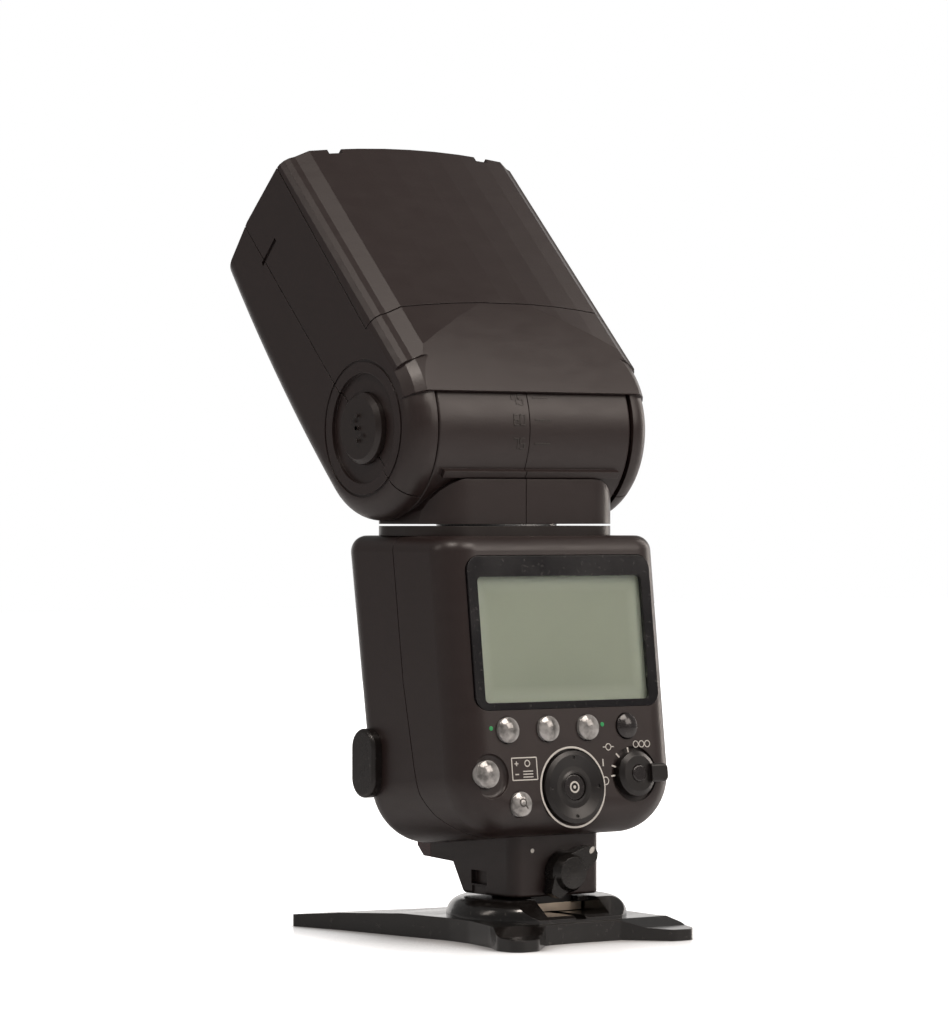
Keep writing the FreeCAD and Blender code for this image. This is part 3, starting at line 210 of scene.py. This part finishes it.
def key_plastic(name):
    """A clear domed key over a clouded silver base, with a painted highlight that lightens the base towards
    its rim.
    """
    t = Tree(name)
    layer = t.add("ShaderNodeLayerWeight")
    layer.inputs["Blend"].default_value = 0.55
    # Painted highlight: the base turns lighter where the dome faces away from the camera.
    painted_rim_highlight = t.span(layer.outputs["Facing"], 0, 1, 0.35, 0.85)
    cloud = t.span(t.noise(420, 3), 0, 1, 0.35, 0.65)
    base = t.mix(cloud, (0.13, 0.125, 0.12), (0.42, 0.41, 0.40))
    base = t.mix(painted_rim_highlight, base, (0.62, 0.61, 0.60))
    t.put(Base_Color=base, Metallic=0.35, Roughness=t.span(t.noise(300, 2), 0.10, 0.22), IOR=1.5,
          Coat_Weight=0.8, Coat_Roughness=0.04, Normal=t.bump(t.noise(520, 2), 0.25, 0.0002))
    return t.material


# Plastics give colour, roughness, grain scale, grain depth in metres and wear.
M = {
    "shell": plastic("shell_plastic", (0.0200, 0.0121, 0.0112), 0.36, 2600, 0.00002, 0.25),
    "door": plastic("door_plastic", (0.0165, 0.0112, 0.0100), 0.38, 2600, 0.00002, 0.3),
    "ring": plastic("ring_plastic", (0.0175, 0.0118, 0.0105), 0.34, 3000, 0.000012, 0.3),
    "dial": plastic("dial_plastic", (0.009, 0.0072, 0.0068), 0.32, 3000, 0.00001, 0.3),
    "inner": plastic("inner_plastic", (0.030, 0.028, 0.027), 0.5, 1500, 0.00003, 0.1),
    "lever": plastic("lever_plastic", (0.012, 0.0105, 0.0095), 0.26, 2000, 0.00002, 0.5),
    "bezel": gloss("bezel_gloss", (0.006, 0.005, 0.006), 0.10, 0.2),
    "sensor": gloss("sensor_gloss", (0.010, 0.0075, 0.007), 0.24),
    "red": gloss("red_gloss", (0.030, 0.003, 0.003), 0.12, 0.3),
    "stand": gloss("stand_gloss", (0.006, 0.005, 0.0045), 0.16, 0.2, 0.3),
    "silver_key": key_plastic("silver_key_gloss"),
    "black_key": gloss("black_key_gloss", (0.016, 0.013, 0.013), 0.16, 0.3),
    "rubber": plastic("rubber_sheet", (0.02, 0.02, 0.02), 0.7, 900, 0.00004, 0.0),
    "white": gloss("white_card", (0.82, 0.82, 0.80), 0.4),
    "board": gloss("board_lacquer", (0.02, 0.11, 0.05), 0.3),
    "cell": gloss("cell_wrap_gloss", (0.10, 0.11, 0.13), 0.25),
    "can": gloss("capacitor_wrap_gloss", (0.03, 0.04, 0.09), 0.25),
    "plate": metal("foot_plate_metal", (0.74, 0.62, 0.50), 0.34, (1, 14, 1)),
    "steel": metal("steel_metal", (0.52, 0.51, 0.50), 0.3),
    "screw": metal("screw_metal", (0.10, 0.095, 0.09), 0.32, (1, 1, 1), 0.5),
    "spring": metal("spring_metal", (0.7, 0.7, 0.7), 0.2, (1, 1, 8)),
    "brass": metal("brass_metal", (0.72, 0.53, 0.26), 0.26, (1, 1, 10)),
    "gold": metal("gold_metal", (0.85, 0.62, 0.28), 0.16),
    "motor": metal("motor_metal", (0.62, 0.62, 0.63), 0.3, (10, 1, 1)),
    "mirror": metal("mirror_metal", (0.88, 0.88, 0.88), 0.09, (1, 1, 1), 0.0),
    "window": clear("window_clear", (0.96, 0.97, 0.97), 0.02),
    "fresnel": clear("fresnel_clear", (0.97, 0.98, 0.98), 0.04, 130),
    "tube": clear("tube_clear", (0.95, 0.97, 1.0), 0.02),
    "frost": clear("frost_clear", (0.95, 0.96, 0.96), 0.25),
    "ink": gloss("white_ink", (0.62, 0.60, 0.56), 0.45),
    "grey_ink": gloss("grey_ink", (0.20, 0.185, 0.17), 0.45),
    "dark_ink": gloss("dark_ink", (0.05, 0.045, 0.04), 0.4),
    "mark": plastic("scale_plastic", (0.030, 0.024, 0.021), 0.34, 3000, 0.00001, 0.4),
    "green_ink": gloss("green_ink", (0.02, 0.30, 0.09), 0.35),
    "pin": metal("pin_metal", (0.6, 0.59, 0.57), 0.25),
}


def make_lcd():
    """The unlit display: a faintly clouded grey-green, lighter along its border."""
    t = Tree("lcd_face")
    split = t.add("ShaderNodeSeparateXYZ")
    t.link(t.place, split.inputs["Vector"])

    def border(axis, centre, half):
        away = t.add("ShaderNodeMath", operation="SUBTRACT")
        t.link(split.outputs[axis], away.inputs[0])
        away.inputs[1].default_value = centre
        size = t.add("ShaderNodeMath", operation="ABSOLUTE")
        t.link(away.outputs[0], size.inputs[0])
        return t.span(size.outputs[0], 0, 1, half - 0.0042, half - 0.0008)

    both = t.add("ShaderNodeMath", operation="MAXIMUM")
    t.link(border("X", 0, LCD_HALF_X), both.inputs[0])
    t.link(border("Z", LCD_MID_Z, LCD_HALF_Z), both.inputs[1])
    face = t.mix(t.span(t.noise(24, 2), 0, 1), (0.46, 0.52, 0.40), (0.53, 0.595, 0.46))
    face = t.mix(both.outputs[0], face, (0.62, 0.69, 0.56))
    t.put(Base_Color=face, Roughness=t.span(t.noise(200, 2), 0.32, 0.42),
          Normal=t.bump(t.noise(2200, 1), 0.1, 0.00001))
    return t.material


M["lcd"] = make_lcd()

FINISH = {
    "shell": "front_shell rear_shell head_top_cover head_upper_shell head_lower_shell yoke_left yoke_right"
             " foot_block",
    "door": "battery_door", "ring": "turntable_ring hub_cap tilt_release_button",
    "dial": "selector_dial power_lever", "lever": "lock_lever",
    "inner": "battery_tray card_tray zoom_carriage lens_frame battery_latch",
    "bezel": "display_bezel", "sensor": "sensor_window", "red": "assist_lamp_window", "stand": "stand_base",
    "silver_key": "function_button_1 function_button_2 function_button_3 mode_button zoom_button",
    "black_key": "function_button_4 ok_button power_lock_button", "rubber": "keypad_sheet",
    "white": "catchlight_card", "board": "control_board main_board", "cell": "aa_cells",
    "can": "main_capacitor",
    "plate": "hot_shoe_foot", "screw": "body_screws head_screws",
    "steel": "zoom_screw lamp_chassis tilt_axle pan_tube",
    "pin": "lock_pin", "spring": "battery_springs release_spring door_contacts pan_retainer tilt_detent",
    "brass": "tripod_insert", "gold": "foot_contacts", "motor": "zoom_motor", "mirror": "reflector",
    "window": "display_window", "fresnel": "fresnel_lens", "tube": "flash_tube", "frost": "wide_panel",
    "lcd": "lcd_module",
}
for look, names in FINISH.items():
    for name in names.split():
        data = NODES[name].data
        data.materials.clear()
        data.materials.append(M[look])

# The shoe plate is bare metal and its neck is black.
foot = NODES["hot_shoe_foot"].data
foot.materials.append(M["dial"])
for face in foot.polygons:
    if face.center.z > FOOT_NECK_ABOVE:
        face.material_index = 1

for node_object in NODES.values():
    for face in node_object.data.polygons:
        face.use_smooth = True
    sharp = node_object.modifiers.new("smooth_by_angle", "EDGE_SPLIT")
    sharp.split_angle = SMOOTH_BELOW
    level = node_object.modifiers.new("weighted", "WEIGHTED_NORMAL")
    level.mode = "FACE_AREA"
    level.keep_sharp = True


# ---------------------------------------------------------------- small pieces


def piece(name, points, faces, look, body):
    """A mesh piece in the row frame, in millimetres, that rides a body."""
    data = bpy.data.meshes.new(name)
    data.from_pydata([Vector(p) * MM for p in points], [], faces)
    data.validate()
    data.update()
    data.materials.append(M[look])
    found = bpy.data.objects.new(name, data)
    bpy.context.scene.collection.objects.link(found)
    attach(found, body)


def slab(outlines, place, high, low=0.0):
    """Points and faces of flat shapes between two heights; place maps (a, b, height) to the row frame."""
    points, faces = [], []
    for outline in outlines:
        n, first = len(outline), len(points)
        points += [place(a, b, low) for a, b in outline] + [place(a, b, high) for a, b in outline]
        faces.append([first + n + i for i in range(n)])
        faces.append([first + i for i in reversed(range(n))])
        for i in range(n):
            j = (i + 1) % n
            faces.append([first + i, first + j, first + n + j, first + n + i])
    return points, faces


def disc(a, b, r, n=24, squash=1.0, turn=0.0):
    """A circle as an outline of n points, or a squashed and turned one."""
    out = []
    for i in range(n):
        t = math.tau * i / n
        u, v = r * math.cos(t), r * squash * math.sin(t)
        out.append((a + u * math.cos(turn) - v * math.sin(turn), b + u * math.sin(turn) + v * math.cos(turn)))
    return out


def bar(a0, b0, a1, b1, width):
    """A straight stroke from one point to another."""
    long = math.hypot(a1 - a0, b1 - b0)
    u, v = -(b1 - b0) / long * width / 2, (a1 - a0) / long * width / 2
    return [(a0 - u, b0 - v), (a1 - u, b1 - v), (a1 + u, b1 + v), (a0 + u, b0 + v)]


def loop(outline, width):
    """Strokes round a closed outline."""
    return [bar(*outline[i], *outline[(i + 1) % len(outline)], width) for i in range(len(outline))]


def ring_strip(place, a, b, r, width, high, n=96):
    """A flat ring of a square section, as points and faces."""
    points, faces = [], []
    for i in range(n):
        t = math.tau * i / n
        inside, outside = r - width / 2, r + width / 2
        for radius, h in ((inside, 0), (inside, high), (outside, high), (outside, 0)):
            points.append(place(a + radius * math.cos(t), b + radius * math.sin(t), h))
    for i in range(n):
        j = (i + 1) % n
        for k in range(4):
            m = (k + 1) % 4
            faces.append([4 * i + k, 4 * i + m, 4 * j + m, 4 * j + k])
    return points, faces


def on_panel(a, z, h):
    """A point of the leaning rear panel, at height h above it."""
    return (a, -PANEL_BACK - (PANEL_TOP - z) * math.tan(LEAN) - h * math.cos(LEAN), z + h * math.sin(LEAN))


def on_barrel(a, arc, h):
    """A point of the yoke's barrel: a across, arc in degrees above the rear horizontal."""
    t = math.radians(arc)
    r = BARREL_RADIUS + h
    return (a, HUB.y - r * math.cos(t), HUB.z + r * math.sin(t))


def on_release(a, b, h):
    """A point of the tilt release button's face; a runs forward along the head, b up across it."""
    return (-RELEASE_FACE - h, HUB.y + (a - b) * C45, HUB.z + (a + b) * C45)


def on_block(a, z, h):
    """A point of the foot block's rear face."""
    return (a, -BLOCK_BACK - h, z)


def on_right(y, z, h):
    """A point of the body's right side."""
    return (BODY_HALF + h, y, z)


def on_head_side(side):
    """Places inside the head's wall: run towards the lamp, n up from the hub, h out from the middle."""
    return lambda run, n, h: (side * h, HUB.y + (run - n) * C45, HUB.z + (run + n) * C45)


def add(name, outlines, place, high, look, body, low=-0.02):
    """A piece made of flat outlines that stand from low to high above the place they lie on."""
    piece(name, *slab(outlines, place, high, low), look, body)


# Strokes (from x, y to x, y) of the numbers on the tilt scale, one unit wide and two high.
STROKES = {
    "0": [(0, 0, 1, 0), (1, 0, 1, 2), (1, 2, 0, 2), (0, 2, 0, 0)],
    "4": [(0, 1, 1, 1), (0, 1, 0, 2), (1, 0, 1, 2)],
    "5": [(0, 0, 1, 0), (1, 0, 1, 1), (0, 1, 1, 1), (0, 1, 0, 2), (0, 2, 1, 2)],
    "6": [(0, 0, 1, 0), (1, 0, 1, 1), (0, 1, 1, 1), (0, 0, 0, 2), (0, 2, 1, 2)],
    "7": [(0, 2, 1, 2), (1, 2, 1, 0)],
}


def digits(text, height, centre):
    """A number as outlines of strokes, centred on a point."""
    unit = height / 2
    width = (1.5 * len(text) - 0.5) * unit
    out = []
    for k, letter in enumerate(text):
        left = centre[0] - width / 2 + 1.5 * k * unit
        for a0, b0, a1, b1 in STROKES[letter]:
            out.append(bar(left + a0 * unit, centre[1] + (b0 - 1) * unit, left + a1 * unit,
                           centre[1] + (b1 - 1) * unit, height * 0.14))
    return out


piece("dial_ring_print", *ring_strip(on_panel, *DIAL, 9.75, 0.5, 0.05), "ink", "flash_body")

# A framed plus, minus, ring and three lines beside the dial.
box_icon = loop([(-18.85, 40.4), (-11.35, 40.4), (-11.35, 45.8), (-18.85, 45.8)], 0.28)
box_icon.append(bar(-18.0, 44.4, -16.9, 44.4, 0.3))
box_icon.append(bar(-17.45, 43.85, -17.45, 44.95, 0.3))
box_icon.append(bar(-18.0, 41.8, -16.9, 41.8, 0.3))
box_icon += loop(disc(-14.2, 44.4, 0.75, 12), 0.28)
box_icon += [bar(-15.6, line_z, -12.6, line_z, 0.25) for line_z in (41.1, 41.8, 42.5)]
add("key_frame_print", box_icon, on_panel, 0.04, "ink", "flash_body")
add("lamp_dots", [disc(-24.3, 53.2, 0.55), disc(9.6, 53.2, 0.55)], on_panel, 0.06, "green_ink", "flash_body")

# Four ticks round the power switch and a plain sign at each.
power = [bar(13.2, 45.9, 14.2, 44.9, 0.4), bar(16.9, 47.3, 17.1, 45.9, 0.4),
         bar(11.6, 43.0, 12.9, 42.6, 0.4), bar(11.2, 40.4, 12.5, 40.5, 0.4)]
power += loop(disc(9.4, 39.3, 0.95, 14), 0.26) + [bar(9.0, 42.9, 9.0, 44.7, 0.34)]
power += loop(disc(11.0, 47.6, 0.8, 14), 0.24)
power += [bar(9.3, 47.6, 10.2, 47.6, 0.24), bar(11.8, 47.6, 12.7, 47.6, 0.24)]
for ring_x in (19.6, 21.4, 23.2):
    power += loop(disc(ring_x, 48.0, 0.8, 14), 0.24)
add("power_prints", power, on_panel, 0.04, "ink", "flash_body")

# The tilt scale: numbers and ticks, drawn flat in millimetres and wrapped round the barrel in degrees.
ARC = BARREL_RADIUS * math.tau / 360
scale = []
for number, arc in (("45", 18.6), ("60", 5.4), ("75", -9.6)):
    scale += digits(number, 2.6, (-5.2, arc * ARC))
for arc in (20.0, 5.4, -9.6):
    scale.append(bar(-0.4, arc * ARC, 4.4, arc * ARC, 0.34))
scale = [[(x, y / ARC) for x, y in stroke] for stroke in scale]
add("barrel_scale", scale, on_barrel, 0.12, "mark", "yoke")


def lay_on_dome(name, at, crown, outlines):
    """A dark print on the domed cap of a key, whose top stands crown above the panel."""
    def place(a, z, h):
        drop = ((a - at[0]) ** 2 + (z - at[1]) ** 2) / (2 * DOME_RADIUS)
        return on_panel(a, z, crown - drop + h)

    add(name + "_print", outlines, place, 0.03, "dark_ink", name)


two_bars = [bar(-27.7, line_z, -24.7, line_z, 0.45) for line_z in (42.7, 41.7)]
lay_on_dome("mode_button", MODE_KEY, 1.1, two_bars)
magnifier = loop(disc(-17.2, 34.9, 0.9, 14), 0.32) + [bar(-16.5, 34.2, -15.7, 33.4, 0.36)]
lay_on_dome("zoom_button", ZOOM_KEY, 1.5, magnifier)
ring_and_dot = loop(disc(*DIAL, 1.25, 22), 0.42) + [disc(*DIAL, 0.4)]
add("ok_button_print", ring_and_dot, on_panel, 0.74, "ink", "ok_button", 0.66)
tip_dot = disc(8.0, 22.0, 1.0, 20, 0.62, math.radians(50))
add("lever_tip_dot", [tip_dot], on_block, 3.64, "ink", "lock_lever", 3.5)

dots = [disc(2.6 * k, 0.0, 0.55) for k in (-1, 0, 1)]
add("release_dots", dots, on_release, 0.0, "ring", "tilt_release_button", -0.1)
add("foot_index_dot", [disc(-7.7, 22.3, 0.55)], on_block, 0.04, "ink", "flash_body")

# Thin lips in the parting line of the head's sides, which keep light from passing through it.
seam_low, seam_high = SEAM_N - SEAM_HALF, SEAM_N + SEAM_HALF
seam = [[(18.0, seam_low), (75.0, seam_low), (75.0, seam_high), (18.0, seam_high)]]
add("seam_lip_left", seam, on_head_side(-1), 36.2, "inner", "head", 35.0)
add("seam_lip_right", seam, on_head_side(1), 36.2, "inner", "head", 35.0)

arrow = [[(4.0, 52.4), (4.0, 55.6), (1.2, 54.0)]]
add("battery_door_arrow", arrow, on_right, 0.04, "grey_ink", "battery_door")


# ---------------------------------------------------------------- studio


def sheet_object(name, corners, material):
    """A flat piece of the studio, given by its corners in metres."""
    data = bpy.data.meshes.new(name)
    data.from_pydata(corners, [], [tuple(range(len(corners)))])
    data.materials.append(material)
    found = bpy.data.objects.new(name, data)
    bpy.context.scene.collection.objects.link(found)


def floor_material():
    """Pale and slightly glossy, and as bright as the backdrop, with a painted shadow where something stands
    close above it.
    """
    t = Tree("studio_floor")
    painted_shadow_occlusion = t.add("ShaderNodeAmbientOcclusion")
    painted_shadow_occlusion.inputs["Distance"].default_value = 0.09
    # Painted shadow: the floor's glow to the camera dims with ambient occlusion, so it turns grey under and
    # beside the flash.
    seen = t.add("ShaderNodeMath", operation="MULTIPLY")
    t.link(t.span(painted_shadow_occlusion.outputs["AO"], 0.0, 0.95, 0.55, 1.0), seen.inputs[0])
    t.link(t.add("ShaderNodeLightPath").outputs["Is Camera Ray"], seen.inputs[1])
    t.put(Base_Color=t.mix(t.noise(5, 2), (0.78, 0.79, 0.82), (0.82, 0.83, 0.85)),
          Roughness=t.span(t.noise(8, 2), 0.17, 0.23), Normal=t.bump(t.noise(6, 2), 0.02, 0.001), IOR=1.45,
          Emission_Color=(1.0, 1.0, 1.0), Emission_Strength=seen.outputs[0])
    return t.material


sheet_object("floor", [(-3, -3, 0), (3, -3, 0), (3, 3, 0), (-3, 3, 0)], floor_material())

AIM = Vector((0, 0.02, 0.11))


def soft_box(name, at, width, height, power, colour=(1, 0.90, 0.82)):
    """A rectangular light that the camera doesn't see, at a place in metres, aimed at the flash, in watts."""
    data = bpy.data.lights.new(name, "AREA")
    data.shape = "RECTANGLE"
    data.size, data.size_y = width, height
    data.energy = power
    data.color = colour
    found = bpy.data.objects.new(name, data)
    found.location = at
    found.visible_camera = False
    found.rotation_euler = (AIM - Vector(at)).to_track_quat("-Z", "Y").to_euler()
    bpy.context.scene.collection.objects.link(found)


soft_box("left_key", (-1.03, 0.34, 0.72), 0.16, 0.5, 1.3)
soft_box("top_light", (-0.58, -0.30, 1.12), 0.24, 0.24, 5)
soft_box("right_strip", (1.1, 0.15, 0.45), 0.16, 1.0, 3.5)
soft_box("front_fill", (0.30, -0.95, 1.20), 0.8, 0.6, 10)
soft_box("rear_soft", (0.75, -1.05, 0.65), 0.7, 0.5, 4)
soft_box("backdrop_glow", (0.9, 1.26, 0.25), 2.4, 0.5, 3.4, (1.0, 0.97, 0.95))

# The backdrop is white to the camera and a dim warm grey to everything else.
world = bpy.data.worlds.new("studio")
bpy.context.scene.world = world
world.use_nodes = True
tree = world.node_tree
tree.nodes.clear()
out = tree.nodes.new("ShaderNodeOutputWorld")
both = tree.nodes.new("ShaderNodeMixShader")
path = tree.nodes.new("ShaderNodeLightPath")
seen = tree.nodes.new("ShaderNodeBackground")
seen.inputs["Color"].default_value = (1, 1, 1, 1)
seen.inputs["Strength"].default_value = 1.0
lit = tree.nodes.new("ShaderNodeBackground")
lit.inputs["Color"].default_value = (1.0, 0.98, 0.96, 1)
lit.inputs["Strength"].default_value = 0.22
tree.links.new(path.outputs["Is Camera Ray"], both.inputs["Fac"])
tree.links.new(lit.outputs["Background"], both.inputs[1])
tree.links.new(seen.outputs["Background"], both.inputs[2])
tree.links.new(both.outputs["Shader"], out.inputs["Surface"])

lens = bpy.data.cameras.new("camera")
lens.lens = FOCAL_LENGTH
lens.sensor_width = 36
lens.clip_start = 0.05
camera = bpy.data.objects.new("camera", lens)
camera.location = CAMERA_AT
camera.rotation_euler = Vector(CAMERA_DIRECTION).to_track_quat("-Z", "Y").to_euler()
bpy.context.scene.collection.objects.link(camera)
bpy.context.scene.camera = camera
bpy.context.scene.view_settings.view_transform = "Standard"
